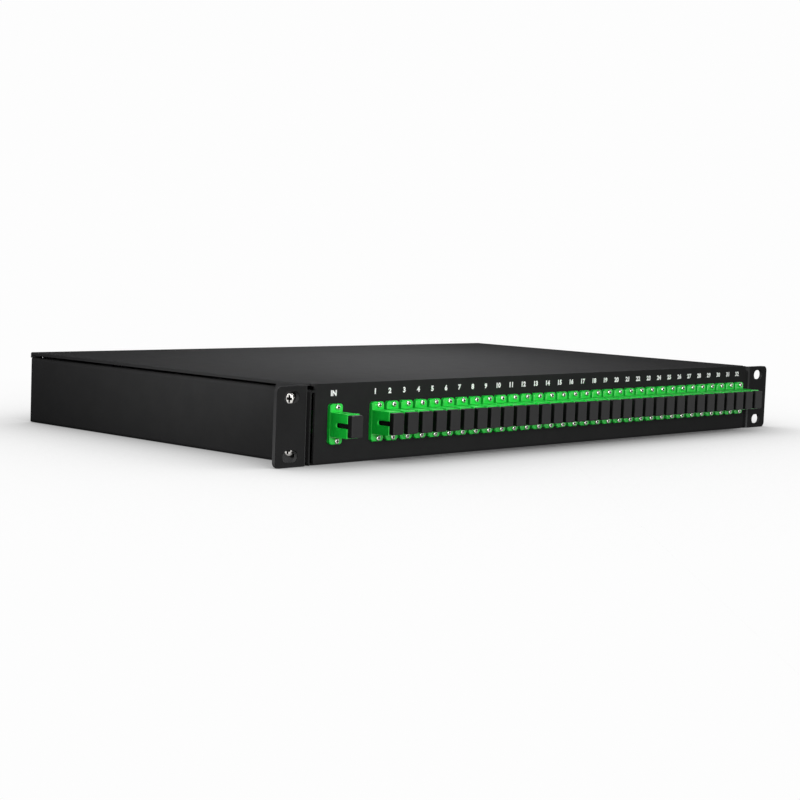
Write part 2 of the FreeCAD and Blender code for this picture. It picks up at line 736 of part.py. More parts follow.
def make_pigtail_plug():
    """The push-fit plug of one fibre pigtail, seated in the back of its adapter."""
    half_w, half_h = cavity_width / 2 - plug_clearance, cavity_height / 2 - plug_clearance
    corners = rectangle(half_w, half_h, plug_front)
    body = prism(corners, [plug_corner_radius] * 4, Vector(0, boot_front - plug_front, 0))
    nose = rod(plug_nose_radius, Vector(0, boot_front, 0), Vector(0, plug_nose_length, 0))
    start = Vector(0, plug_front, 0)
    tube_pocket = rod(tube_pocket_radius, start, Vector(0, holder_tube_length / 2, 0))
    ferrule_hole = rod(ferrule_radius, start, Vector(0, ferrule_back - plug_front, 0))
    fibre_hole = rod(fibre_diameter / 2 + boot_fibre_gap, start, Vector(0, plug_length + overcut, 0))
    return body.fuse(nose).cut(tube_pocket).cut(ferrule_hole).cut(fibre_hole).removeSplitter()


def make_ferrule():
    """The ceramic ferrule, which butts against its mate in the middle of the sleeve."""
    ferrule = rod(ferrule_radius, Vector(0, ferrule_front, 0), Vector(0, ferrule_length, 0))
    tip = [edge for edge in ferrule.Edges if edge.CenterOfMass.y < ferrule_front + on_plane]
    return ferrule.makeChamfer(ferrule_tip_bevel, tip)


def make_boot():
    """A tapered rubber boot pushed over the plug's nose."""
    root = plug_nose_radius + boot_wall
    start = Vector(0, boot_front, 0)
    collar = rod(root, start, Vector(0, plug_nose_length, 0))
    taper = Part.makeCone(root, boot_tip_radius, boot_length, Vector(0, plug_back, 0), Vector(0, 1, 0))
    bore = rod(plug_nose_radius, start, Vector(0, plug_nose_length, 0))
    fibre_hole = rod(fibre_diameter / 2 + boot_fibre_gap, start, Vector(0, boot_back - boot_front + overcut, 0))
    return collar.fuse(taper).cut(bore).cut(fibre_hole).removeSplitter()


def make_fibre(exit_x, port_x):
    """One buffered fibre, fanned out from the splitter case to its plug."""
    straight = fibre_bend_radius * fibre_straight_share
    start = Vector(exit_x, case_front_y + case_wall, case_exit_z)
    leave = Vector(exit_x, case_front_y - straight, case_exit_z)
    arrive = Vector(port_x, boot_back + straight, port_z)
    end = Vector(port_x, boot_back - boot_grip, port_z)
    radii = [0, fibre_bend_radius, fibre_bend_radius, 0]
    path = rounded_path([start, leave, arrive, end], radii, closed=False)
    ring = Part.Wire(Part.makeCircle(fibre_diameter / 2, start, Vector(0, -1, 0)))
    tube = path.makePipeShell([ring], True, False)
    section = math.pi * fibre_diameter ** 2 / 4
    return tube, path.Length, tube.Volume / (section * path.Length)


def make_splitter_case():
    """The moulded case's lower half, open at the top, with two screwed feet tabs."""
    half_w = case_width / 2

    def plan(inset, z):
        x, front, back = half_w - inset, case_front_y + inset, case_back_y - inset
        return [Vector(-x, front, z), Vector(x, front, z), Vector(x, back, z), Vector(-x, back, z)]

    height = Vector(0, 0, case_rim - floor_top)
    case = prism(plan(0, floor_top), [case_corner_radius] * 4, height)
    case = case.cut(prism(plan(case_wall, case_floor), [case_corner_radius - case_wall] * 4, height))
    boss_radius = lid_screw_radius + thread_clearance + lid_boss_wall
    root_z = case_floor - root_depth
    for side in (-1, 1):
        x_range = (side * (half_w - case_wall / 2), side * (half_w + case_tab_length))
        y_range = (module_screw_y - case_tab_width / 2, module_screw_y + case_tab_width / 2)
        case = case.fuse(box(x_range, y_range, (floor_top, floor_top + case_tab_thickness)))
        x_range = (side * (chip_length / 2 - chip_post_length), side * chip_length / 2)
        y_range = (module_screw_y - chip_post_width / 2, module_screw_y + chip_post_width / 2)
        case = case.fuse(box(x_range, y_range, (root_z, case_floor + chip_post_height)))
    for x, y in lid_screw_places:
        case = case.fuse(rod(boss_radius, Vector(x, y, root_z), Vector(0, 0, case_rim - root_z)))
    tools = []
    for x in module_screw_xs:
        travel = Vector(0, 0, sheet + case_tab_thickness + overcut)
        start = Vector(x, module_screw_y, floor_z)
        tools.append(rod(module_screw_radius + screw_hole_clearance, start, travel))
    for x, y in lid_screw_places:
        start = Vector(x, y, case_floor)
        tools.append(rod(lid_screw_radius + thread_clearance, start, Vector(0, 0, case_height)))
    for x in exit_xs:
        start = Vector(x, case_front_y - overcut, case_exit_z)
        radius = fibre_diameter / 2 + case_exit_gap
        tools.append(rod(radius, start, Vector(0, case_wall + 2 * overcut, 0)))
    return drilled(case, tools).removeSplitter()


def make_splitter_lid():
    """The case's flat lid, with a hole for each of its four screws."""
    x = case_width / 2
    corners = [(-x, case_front_y), (x, case_front_y), (x, case_back_y), (-x, case_back_y)]
    points = [Vector(corner_x, corner_y, case_rim) for corner_x, corner_y in corners]
    lid = prism(points, [case_corner_radius] * 4, Vector(0, 0, case_lid_thickness))
    radius = lid_screw_radius + screw_hole_clearance
    travel = Vector(0, 0, case_lid_thickness + 2 * overcut)
    return drilled(lid, [rod(radius, Vector(x, y, case_rim - overcut), travel) for x, y in lid_screw_places])


def make_splitter_chip():
    """The waveguide chip's steel housing, lying on two posts in the case."""
    half = chip_length / 2
    low = case_floor + chip_post_height
    y_range = (module_screw_y - chip_width / 2, module_screw_y + chip_width / 2)
    chip = box((-half, half), y_range, (low, low + chip_height))
    return chip.makeFillet(chip_edge_radius, [edge for edge in chip.Edges if edge.BoundBox.XLength > half])


def make_module_screws():
    """Two screws that hold the case to the base and four that hold its lid."""
    up = Vector(0, 0, 1)
    length = case_tab_thickness + sheet - module_screw_end_gap
    screws = []
    for x in module_screw_xs:
        seat = Vector(x, module_screw_y, floor_top + case_tab_thickness)
        screws.append(pan_screw(seat, up, module_screw_radius, module_screw_head_radius,
                                module_screw_head_height, length))
    for x, y in lid_screw_places:
        seat = Vector(x, y, case_rim + case_lid_thickness)
        screws.append(pan_screw(seat, up, lid_screw_radius, lid_screw_head_radius,
                                lid_screw_head_height, lid_screw_length))
    return screws


def at_port(shape, x):
    """A copy of a piece made at X = 0 and Z = 0, moved to the port at X."""
    copy = shape.copy()
    copy.translate(Vector(x, 0, port_z))
    return copy


save("chassis_tray", make_tray())
save("cover_rail", make_cover_rail())
save("top_cover", make_cover())
save("left_ear_bracket", make_ear_bracket(-1))
save("right_ear_bracket", make_ear_bracket(1))
save("ear_screws", make_ear_screws())
save("clinch_nuts", make_clinch_nuts())
save("cover_screws", make_cover_screws())
save("rear_rivets", make_rear_rivets())

adapter = make_adapter()
save("input_adapter", at_port(adapter, input_port_x))
for first in range(0, port_count, ports_per_bank):
    bank = [at_port(adapter, x) for x in port_xs[first:first + ports_per_bank]]
    save("output_adapters_%02d_%02d" % (first + 1, first + len(bank)), bank)

screw_pair = [make_adapter_screw(side) for side in (-1, 1)]
nut_pair = [make_adapter_nut(side) for side in (-1, 1)]
save("adapter_screws", [at_port(screw, x) for x in all_port_xs for screw in screw_pair])
save("adapter_nuts", [at_port(nut, x) for x in all_port_xs for nut in nut_pair])
for name, piece in (
        ("sleeve_holders", make_sleeve_holder()),
        ("alignment_sleeves", make_alignment_sleeve()),
        ("pigtail_plugs", make_pigtail_plug()),
        ("pigtail_ferrules", make_ferrule()),
        ("pigtail_boots", make_boot())):
    save(name, [at_port(piece, x) for x in all_port_xs])

cap = make_dust_cap()
save("dust_cap_in", at_port(cap, input_port_x))
for i, x in enumerate(port_xs):
    save("dust_cap_%02d" % (i + 1), at_port(cap, x))

fibres = [make_fibre(exit_x, port_x) for exit_x, port_x in zip(exit_xs, all_port_xs)]
save("input_fibre", fibres[0][0])
save("output_fibres", [tube for tube, length, fill in fibres[1:]])
lengths = [length for tube, length, fill in fibres]
fills = [fill for tube, length, fill in fibres]
print("fibre bend radius", fibre_bend_radius, "lengths", round(min(lengths), 1), round(max(lengths), 1))
print("fibre volume over section times length", round(min(fills), 4), round(max(fills), 4))

save("splitter_case", make_splitter_case())
save("splitter_case_lid", make_splitter_lid())
save("splitter_chip", make_splitter_chip())
save("module_screws", make_module_screws())
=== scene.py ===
import math

import bpy
from mathutils import Matrix, Vector


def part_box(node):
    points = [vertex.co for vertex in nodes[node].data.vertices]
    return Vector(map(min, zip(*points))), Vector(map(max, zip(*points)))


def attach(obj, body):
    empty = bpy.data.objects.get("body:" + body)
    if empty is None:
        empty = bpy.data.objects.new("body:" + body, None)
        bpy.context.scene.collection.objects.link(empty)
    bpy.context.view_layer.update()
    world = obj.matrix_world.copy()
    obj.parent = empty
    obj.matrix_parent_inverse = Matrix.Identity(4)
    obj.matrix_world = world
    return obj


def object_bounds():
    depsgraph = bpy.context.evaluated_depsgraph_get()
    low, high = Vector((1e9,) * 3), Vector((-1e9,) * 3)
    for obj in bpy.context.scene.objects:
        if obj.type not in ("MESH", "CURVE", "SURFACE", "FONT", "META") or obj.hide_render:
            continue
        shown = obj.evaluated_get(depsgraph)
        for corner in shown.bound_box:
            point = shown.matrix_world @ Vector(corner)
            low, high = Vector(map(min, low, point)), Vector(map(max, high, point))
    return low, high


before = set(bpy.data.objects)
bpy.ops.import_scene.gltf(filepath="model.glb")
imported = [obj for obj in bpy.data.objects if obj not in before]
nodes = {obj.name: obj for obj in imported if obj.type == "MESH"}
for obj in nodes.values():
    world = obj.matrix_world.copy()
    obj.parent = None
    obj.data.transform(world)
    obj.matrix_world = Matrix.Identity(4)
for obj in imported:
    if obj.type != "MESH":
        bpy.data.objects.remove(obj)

cad_low, cad_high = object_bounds()


# The camera stands to the left of the unit and just above its cover. A long lens
# looks along the front panel, turned a little, and sees the left side and the top.
camera_place = Vector((-0.89806, -0.70072, 0.09943))
camera_turn = math.radians(47.127)
camera_dip = math.radians(4.901)
camera_roll = math.radians(2.198)
camera_lens_mm = 81.82
camera_sensor_mm = 36.0
camera_nearest, camera_farthest = 0.01, 60.0

camera_data = bpy.data.cameras.new("camera")
camera_data.lens = camera_lens_mm
camera_data.sensor_width = camera_sensor_mm
camera_data.clip_start = camera_nearest
camera_data.clip_end = camera_farthest
camera = bpy.data.objects.new("camera", camera_data)
bpy.context.scene.collection.objects.link(camera)
camera.matrix_world = (
    Matrix.Translation(camera_place)
    @ Matrix.Rotation(-camera_turn, 4, "Z")
    @ Matrix.Rotation(math.pi / 2 - camera_dip, 4, "X")
    @ Matrix.Rotation(camera_roll, 4, "Z"))
bpy.context.scene.camera = camera


# The tray is one folded sheet of 1.2 mm steel: base, front panel, sides and rear.
# It is powder coated in satin black, which dries to a fine, slightly wavy grain. Its front
# faces and the foot of its sides are painted darker: painted shade.
millimetre = 0.001
# Painted shade: the front faces and the foot of the sides take darker tones than the coat.
front_shade_low, front_shade_high = (0.0195, 0.0195, 0.0198), (0.0245, 0.0245, 0.0248)
foot_shade_low, foot_shade_high = (0.024, 0.024, 0.0244), (0.029, 0.029, 0.0294)
coat_low, coat_high = (0.038, 0.038, 0.0387), (0.046, 0.046, 0.0467)
coat_grain = (2600.0, 90.0, 0.35)  # grain per metre, waves per metre, share of the waves
coat_roughness = 0.6
coat_sheen = 0.012
coat_sheen_roughness = 0.4
coat_bump = (0.25, 0.03 * millimetre)  # strength, depth
panel_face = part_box("chassis_tray")[0].y
front_band = 0.3 * millimetre


def surface_grain_group():
    """Fine grain on slow waves: a height for the bump and a mask for small changes of tone."""
    group = bpy.data.node_groups.new("surface_grain", "ShaderNodeTree")
    for name in ("Grain per metre", "Waves per metre", "Wave share"):
        group.interface.new_socket(name=name, in_out="INPUT", socket_type="NodeSocketFloat")
    for name in ("Height", "Tone"):
        group.interface.new_socket(name=name, in_out="OUTPUT", socket_type="NodeSocketFloat")
    given = group.nodes.new("NodeGroupInput")
    result = group.nodes.new("NodeGroupOutput")
    place = group.nodes.new("ShaderNodeTexCoord")
    grain = group.nodes.new("ShaderNodeTexNoise")
    grain.inputs["Detail"].default_value = 3.0
    grain.inputs["Roughness"].default_value = 0.6
    waves = group.nodes.new("ShaderNodeTexNoise")
    waves.inputs["Detail"].default_value = 2.0
    blend = group.nodes.new("ShaderNodeMix")
    for start, end in (
            (place.outputs["Object"], grain.inputs["Vector"]),
            (place.outputs["Object"], waves.inputs["Vector"]),
            (given.outputs["Grain per metre"], grain.inputs["Scale"]),
            (given.outputs["Waves per metre"], waves.inputs["Scale"]),
            (given.outputs["Wave share"], blend.inputs["Factor"]),
            (grain.outputs["Fac"], blend.inputs["A"]),
            (waves.outputs["Fac"], blend.inputs["B"]),
            (blend.outputs["Result"], result.inputs["Height"]),
            (waves.outputs["Fac"], result.inputs["Tone"])):
        group.links.new(start, end)
    return group


grain_group = surface_grain_group()


def new_finish(name, grain, roughness, metallic=0.0, specular=0.5):
    """A material with its grain placed and its shader's plain values set."""
    material = bpy.data.materials.new(name)
    material.use_nodes = True
    shader = material.node_tree.nodes["Principled BSDF"]
    shader.inputs["Roughness"].default_value = roughness
    shader.inputs["Metallic"].default_value = metallic
    shader.inputs["Specular IOR Level"].default_value = specular
    node = material.node_tree.nodes.new("ShaderNodeGroup")
    node.name = "grain"
    node.node_tree = grain_group
    for label, value in zip(("Grain per metre", "Waves per metre", "Wave share"), grain):
        node.inputs[label].default_value = value
    return material


def feed(owner, socket, value):
    """Links a socket to another one, or sets it to a number or a colour."""
    if isinstance(value, bpy.types.NodeSocket):
        owner.node_tree.links.new(value, socket)
    elif isinstance(value, tuple):
        socket.default_value = (*value, 1.0)
    else:
        socket.default_value = value


def new_maths(owner, operation, *values):
    """A maths node's result from one or two values, each a socket or a number."""
    node = owner.node_tree.nodes.new("ShaderNodeMath")
    node.operation = operation
    for i, value in enumerate(values):
        feed(owner, node.inputs[i], value)
    return node.outputs["Value"]


def new_range(owner, value, start, end, low=0.0, high=1.0):
    """A number that runs from low to high while a socket's value goes from start to end."""
    node = owner.node_tree.nodes.new("ShaderNodeMapRange")
    feed(owner, node.inputs["Value"], value)
    feed(owner, node.inputs["From Min"], start)
    feed(owner, node.inputs["From Max"], end)
    feed(owner, node.inputs["To Min"], low)
    feed(owner, node.inputs["To Max"], high)
    return node.outputs["Result"]


def new_mix(material, mask, low, high):
    """A colour that runs from low to high over a mask, each a socket or a colour."""
    node = material.node_tree.nodes.new("ShaderNodeMix")
    node.data_type = "RGBA"
    feed(material, node.inputs["Factor"], mask)
    feed(material, node.inputs["A"], low)
    feed(material, node.inputs["B"], high)
    return node.outputs["Result"]


def new_axes(material):
    """The X, Y and Z of a point on the piece."""
    place = material.node_tree.nodes.new("ShaderNodeTexCoord")
    axes = material.node_tree.nodes.new("ShaderNodeSeparateXYZ")
    feed(material, axes.inputs["Vector"], place.outputs["Object"])
    return axes.outputs


def grain_tones(material, low, high):
    """A colour that runs from low to high over the slow waves of the grain."""
    return new_mix(material, material.node_tree.nodes["grain"].outputs["Tone"], low, high)


def set_colour(material, colour):
    """Gives the shader its base colour."""
    feed(material, material.node_tree.nodes["Principled BSDF"].inputs["Base Color"], colour)


def add_bump(material, strength, depth):
    """Raises the surface by its grain."""
    bump = material.node_tree.nodes.new("ShaderNodeBump")
    bump.inputs["Strength"].default_value = strength
    bump.inputs["Distance"].default_value = depth
    feed(material, bump.inputs["Height"], material.node_tree.nodes["grain"].outputs["Height"])
    shader = material.node_tree.nodes["Principled BSDF"]
    feed(material, shader.inputs["Normal"], bump.outputs["Normal"])


def powder_coat(name, painted_foot_low, painted_foot_high):
    """Black powder coat with a thin sheen, its front faces painted darker as painted shade, and
    its tone painted to run from the given foot tones at the bottom to the coat's own tone at the
    top.
    """
    material = new_finish(name, coat_grain, coat_roughness, specular=0.0)
    shader = material.node_tree.nodes["Principled BSDF"]
    shader.inputs["Coat Weight"].default_value = coat_sheen
    shader.inputs["Coat Roughness"].default_value = coat_sheen_roughness
    axes = new_axes(material)
    rise = new_range(material, axes["Z"], cad_low.z, cad_high.z)
    # A painted gradient: from the foot tones at the bottom (painted shade on the tray, painted
    # light on the ears) to the coat's tone at the top.
    side_tone_with_painted_foot = new_mix(
        material, rise, grain_tones(material, painted_foot_low, painted_foot_high),
        grain_tones(material, coat_low, coat_high))
    # Painted shade: faces at the panel's front take darker tones than the sides.
    front_shade_mask = new_maths(material, "LESS_THAN", axes["Y"], panel_face + front_band)
    painted_front_shade = grain_tones(material, front_shade_low, front_shade_high)
    set_colour(material, new_mix(material, front_shade_mask, side_tone_with_painted_foot, painted_front_shade))
    add_bump(material, *coat_bump)
    return material


def dress(node_names, material):
    """Gives CAD nodes their material."""
    for name in node_names:
        nodes[name].data.materials.clear()
        nodes[name].data.materials.append(material)


black_coat_painted_shade = powder_coat("black_powder_coat", foot_shade_low, foot_shade_high)
dress(("chassis_tray", "cover_rail"), black_coat_painted_shade)


# The cover is a flat sheet with short folded lips. It lies on the rail in front and
# is screwed at the rear, in the same black powder coat as the tray.
dress(("top_cover",), black_coat_painted_shade)


# At the two rear corners a short strip of black foam fills the slit between the
# cover's rear lip and the returns of the side walls, so that no light shows through.
seal_length = 8.4 * millimetre
seal_depth = 1.0 * millimetre
seal_inset = 0.1 * millimetre
seal_low = 19.06 * millimetre
seal_high = 19.34 * millimetre
seal_round = 0.06 * millimetre
seal_round_steps = 2
foam_low, foam_high = (0.006, 0.006, 0.006), (0.012, 0.012, 0.012)
foam_grain = (4000.0, 300.0, 0.3)

foam = new_finish("black_foam", foam_grain, roughness=0.9, specular=0.1)
set_colour(foam, grain_tones(foam, foam_low, foam_high))
cover_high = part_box("top_cover")[1]
for side, side_name in ((-1, "left"), (1, "right")):
    bpy.ops.object.select_all(action="DESELECT")
    bpy.ops.mesh.primitive_cube_add(size=1.0, location=(0, 0, 0))
    seal = bpy.context.object
    seal.name = side_name + "_corner_seal"
    seal.data.transform(
        Matrix.Translation((
            side * (cover_high.x - seal_inset - seal_length / 2),
            cover_high.y - seal_inset - seal_depth / 2,
            (seal_low + seal_high) / 2))
        @ Matrix.Diagonal((seal_length, seal_depth, seal_high - seal_low, 1.0)))
    bpy.ops.object.mode_set(mode="EDIT")
    bpy.ops.mesh.select_all(action="SELECT")
    bpy.ops.mesh.bevel(offset=seal_round, segments=seal_round_steps)
    bpy.ops.object.mode_set(mode="OBJECT")
    seal.data.materials.append(foam)
    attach(seal, "chassis")


# The rack ears are L brackets of 2.5 mm sheet, coated black like the panel and screwed
# to the tray's sides. Each has two long holes for the rack's screws. Their front faces are
# painted darker as painted shade; their edges and the walls of the holes are painted
# lighter, most of all near the foot, as painted light.
# Painted light: the ears' edges, hole walls and leg are lighter than the coat, most of all near
# the foot.
ear_foot_light_low, ear_foot_light_high = (0.066, 0.066, 0.067), (0.076, 0.076, 0.077)

ear_coat_painted_light_and_shade = powder_coat("ear_powder_coat_painted_light_and_shade", ear_foot_light_low, ear_foot_light_high)
dress(("left_ear_bracket", "right_ear_bracket"), ear_coat_painted_light_and_shade)


# Pan-head screws of nickel-plated steel hold the ears, the cover and the adapters.
# The plating is bright. The cross recesses are painted dark as painted shade, and the ears'
# washers are dark too.
nickel_low, nickel_high = (0.72, 0.7, 0.67), (0.86, 0.84, 0.81)
nickel_grain = (1800.0, 400.0, 0.5)
nickel_roughness = (0.16, 0.32)
nickel_bump = (0.2, 0.01 * millimetre)
# Painted shade: the cross recesses are painted near black; the ears' washers take the same near
# black.
recess_shade_and_washer_black = (0.004, 0.004, 0.004)
recess_start = 0.1 * millimetre
recess_reach_share = 0.66
recess_arm_share = 0.22
ear_washer_radius = 3.9 * millimetre
ear_head_radius = 3.2 * millimetre
ear_head_height = 2.3 * millimetre
adapter_head_radius = 1.55 * millimetre


def add_roughness(material, low, high):
    """A roughness that runs from low to high over the slow waves of the grain."""
    tone = material.node_tree.nodes["grain"].outputs["Tone"]
    shader = material.node_tree.nodes["Principled BSDF"]
    feed(material, shader.inputs["Roughness"], new_range(material, tone, 0.0, 1.0, low, high))


def how_far(material, value, middle):
    """How far a socket's value is from a middle."""
    return new_maths(material, "ABSOLUTE", new_maths(material, "SUBTRACT", value, middle))


def where_all(material, *masks):
    """A mask that is 1 where all the given masks are."""
    product = masks[0]
    for mask in masks[1:]:
        product = new_maths(material, "MULTIPLY", product, mask)
    return product


def cross_recess(material, off_one, off_two, depth, head_radius):
    """A mask that is 1 in a head's cross recess, from the distances to its middle and its top."""
    nearer = new_maths(material, "MINIMUM", off_one, off_two)
    farther = new_maths(material, "MAXIMUM", off_one, off_two)
    return where_all(
        material,
        new_maths(material, "LESS_THAN", nearer, head_radius * recess_arm_share),
        new_maths(material, "LESS_THAN", farther, head_radius * recess_reach_share),
        new_maths(material, "GREATER_THAN", depth, recess_start))


def port_middle(cap_name):
    """The X of a port's middle, taken from its dust cap."""
    low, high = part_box(cap_name)
    return (low.x + high.x) / 2


nickel = new_finish("nickel_plate", nickel_grain, roughness=0.25, metallic=1.0)
axes = new_axes(nickel)

ear_low, ear_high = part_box("ear_screws")
washer_top = ear_high.x - ear_head_height
ear_out = how_far(nickel, axes["X"], 0.0)
ear_off_y = how_far(nickel, axes["Y"], (ear_low.y + ear_high.y) / 2)
ear_off_z = how_far(nickel, how_far(nickel, axes["Z"], 0.0), ear_high.z - ear_washer_radius)
ear_depth = new_maths(nickel, "SUBTRACT", ear_high.x, ear_out)
ear_recess = where_all(
    nickel,
    cross_recess(nickel, ear_off_y, ear_off_z, ear_depth, ear_head_radius),
    new_maths(nickel, "GREATER_THAN", ear_out, ear_high.x - 2 * ear_head_height))
washer = where_all(
    nickel,
    new_maths(nickel, "LESS_THAN", ear_out, washer_top + recess_start / 2),
    new_maths(nickel, "GREATER_THAN", ear_out, washer_top - ear_head_height))

head_low, head_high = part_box("adapter_screws")
port_z = (head_low.z + head_high.z) / 2
adapter_screw_z = (head_high.z - head_low.z) / 2 - adapter_head_radius
first_x, second_x = port_middle("dust_cap_01"), port_middle("dust_cap_02")
off_row = new_maths(
    nickel, "PINGPONG", new_maths(nickel, "SUBTRACT", axes["X"], first_x),
    (second_x - first_x) / 2)
off_in = how_far(nickel, axes["X"], port_middle("dust_cap_in"))
adapter_off_x = new_maths(nickel, "MINIMUM", off_row, off_in)
adapter_off_z = how_far(nickel, how_far(nickel, axes["Z"], port_z), adapter_screw_z)
adapter_depth = new_maths(nickel, "SUBTRACT", axes["Y"], head_low.y)
adapter_recess = where_all(
    nickel,
    cross_recess(nickel, adapter_off_x, adapter_off_z, adapter_depth, adapter_head_radius),
    new_maths(nickel, "LESS_THAN", axes["Y"], panel_face))

# Painted shade in the cross recesses, and the near black of the ears' washers.
dark = new_maths(
    nickel, "MAXIMUM", new_maths(nickel, "MAXIMUM", ear_recess, washer), adapter_recess)
plating = grain_tones(nickel, nickel_low, nickel_high)
set_colour(nickel, new_mix(nickel, dark, plating, recess_shade_and_washer_black))
add_roughness(nickel, *nickel_roughness)
add_bump(nickel, *nickel_bump)
dress(("ear_screws", "cover_screws", "adapter_screws", "module_screws"), nickel)


# The nuts clinched into the tray and those behind the adapters are zinc-plated steel,
# and so is the housing of the splitter's chip. The rear rivets are coated black.
zinc_low, zinc_high = (0.5, 0.51, 0.52), (0.66, 0.67, 0.68)
zinc_grain = (900.0, 250.0, 0.6)
zinc_roughness = (0.3, 0.5)

zinc = new_finish("zinc_plate", zinc_grain, roughness=0.4, metallic=1.0)
set_colour(zinc, grain_tones(zinc, zinc_low, zinc_high))
add_roughness(zinc, *zinc_roughness)
dress(("clinch_nuts", "adapter_nuts", "splitter_chip"), zinc)
dress(("rear_rivets",), black_coat_painted_shade)


# The adapters are moulded in bright green plastic, the colour for angled connectors.
# Each is pushed through the panel from the front and screwed through its flange. The
# plugs and boots that meet them inside are moulded in the same green.
green_low, green_high = (0.003, 0.57, 0.036), (0.005, 0.65, 0.051)
green_grain = (1500.0, 120.0, 0.6)
green_roughness = (0.26, 0.36)
green_bump = (0.12, 0.02 * millimetre)

green = new_finish("adapter_green", green_grain, roughness=0.3, specular=0.6)
set_colour(green, grain_tones(green, green_low, green_high))
add_roughness(green, *green_roughness)
add_bump(green, *green_bump)
dress([name for name in nodes if name.startswith("output_adapters")], green)
dress(("input_adapter", "pigtail_plugs", "pigtail_boots"), green)


# Black dust caps close the ports. They are moulded: the front face has a fine spark texture
# that looks grey. The sides, rounded edges and plug behind it are painted near black: painted
# shade.
cap_front_low, cap_front_high = (0.016, 0.016, 0.0162), (0.021, 0.021, 0.0212)
cap_side_shade = (0.003, 0.003, 0.0032)
cap_grain = (3000.0, 150.0, 0.3)
cap_bump = (0.3, 0.02 * millimetre)
cap_shade_start = 0.12 * millimetre
cap_shade_end = 0.3 * millimetre
cap_names = sorted(name for name in nodes if name.startswith("dust_cap"))
cap_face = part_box("dust_cap_in")[0].y

cap_plastic_painted_shade = new_finish("cap_plastic_painted_shade", cap_grain, roughness=0.5, specular=0.16)
# Painted shade: behind its front face the cap is painted near black, its rounded edges included.
side_shade_mask = new_range(
    cap_plastic_painted_shade, new_axes(cap_plastic_painted_shade)["Y"], cap_face + cap_shade_start, cap_face + cap_shade_end)
cap_front = grain_tones(cap_plastic_painted_shade, cap_front_low, cap_front_high)
set_colour(cap_plastic_painted_shade, new_mix(cap_plastic_painted_shade, side_shade_mask, cap_front, cap_side_shade))
add_bump(cap_plastic_painted_shade, *cap_bump)
dress(cap_names, cap_plastic_painted_shade)


# The ports are marked in white ink, screen printed on the panel above the adapters:
# IN over the first, then the numbers 1 to 32.
label_height = 3.2 * millimetre
label_weight = 0.05
label_widening = 1.12
label_curve_steps = 3
label_middle_z = 17.2 * millimetre
label_shift = 0.7 * millimetre
ink_thickness = 0.02 * millimetre
ink_low, ink_high = (0.92, 0.92, 0.92), (0.98, 0.98, 0.98)
ink_grain = (5000.0, 600.0, 0.5)
ink_bump = (0.1, 0.01 * millimetre)

ink = new_finish("white_ink", ink_grain, roughness=0.6, specular=0.3)
set_colour(ink, grain_tones(ink, ink_low, ink_high))
add_bump(ink, *ink_bump)


def print_label(word, cap_name):
    """One printed word, made from text and laid flat on the panel's face above a cap."""
    bpy.ops.object.select_all(action="DESELECT")
    bpy.ops.object.text_add(location=(0, 0, 0))
    label = bpy.context.object
    label.data.body = word
    label.data.size = 1.0
    label.data.offset = label_weight
    label.data.resolution_u = label_curve_steps
    label.data.align_x = "CENTER"
    bpy.ops.object.convert(target="MESH")
    points = [vertex.co for vertex in label.data.vertices]
    low = Vector([min(point[i] for point in points) for i in range(3)])
    high = Vector([max(point[i] for point in points) for i in range(3)])
    scale = label_height / (high.y - low.y)
    place = (port_middle(cap_name) - label_shift, panel_face - ink_thickness, label_middle_z)
    label.data.transform(
        Matrix.Translation(place)
        @ Matrix.Rotation(math.pi / 2, 4, "X")
        @ Matrix.Diagonal((scale * label_widening, scale, scale, 1.0))
        @ Matrix.Translation(-(low + high) / 2))
    return label


labels = [print_label("IN", "dust_cap_in")]
for number in range(1, len(cap_names)):
    labels.append(print_label(str(number), "dust_cap_%02d" % number))
bpy.ops.object.select_all(action="DESELECT")
for label in labels:
    label.select_set(True)
bpy.context.view_layer.objects.active = labels[0]
bpy.ops.object.join()
port_numbers = bpy.context.object
port_numbers.name = "port_numbers"
port_numbers.data.materials.clear()
port_numbers.data.materials.append(ink)
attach(port_numbers, "chassis")


# Inside, white jacketed fibres run from the splitter's case to ceramic ferrules, which
# meet in slit sleeves in the adapters. The case and the tubes that hold the sleeves are
# black mouldings. All of it is sealed in.
white_low, white_high = (0.78, 0.77, 0.73), (0.86, 0.85, 0.82)
white_grain = (1200.0, 200.0, 0.5)
case_low, case_high = (0.02, 0.02, 0.021), (0.03, 0.03, 0.031)
case_grain = (2000.0, 150.0, 0.4)
case_bump = (0.3, 0.03 * millimetre)

white = new_finish("white_moulding", white_grain, roughness=0.45)
set_colour(white, grain_tones(white, white_low, white_high))
dress(("alignment_sleeves", "pigtail_ferrules", "input_fibre", "output_fibres"), white)

case_plastic = new_finish("case_plastic", case_grain, roughness=0.5)
set_colour(case_plastic, grain_tones(case_plastic, case_low, case_high))
add_bump(case_plastic, *case_bump)
dress(("splitter_case", "splitter_case_lid", "sleeve_holders"), case_plastic)


# The unit stands on a plain white sweep. To the camera and in reflections its paper is white,
# with a painted shadow round the unit; to the lamps' light it is a dull grey.
floor_size = 40.0
floor_grey = 0.2
paper_white = 0.983
shadow_reach = 0.3
shadow_samples = 16
# Painted shadow: the paper's grey by how much of the open sky each point sees.
shadow_stops = (
    (0.0, 0.085), (0.19, 0.095), (0.28, 0.28), (0.4, 0.325),
    (0.48, 0.376), (0.88, 0.79), (0.94, 0.9), (0.97, paper_white))


def seen_plainly(owner):
    """Whether a ray is the camera's, or a mirror's or glass's view of the surroundings."""
    rays = owner.node_tree.nodes.new("ShaderNodeLightPath")
    either = new_maths(
        owner, "MAXIMUM", rays.outputs["Is Camera Ray"], rays.outputs["Is Glossy Ray"])
    return new_maths(owner, "MAXIMUM", either, rays.outputs["Is Transmission Ray"])


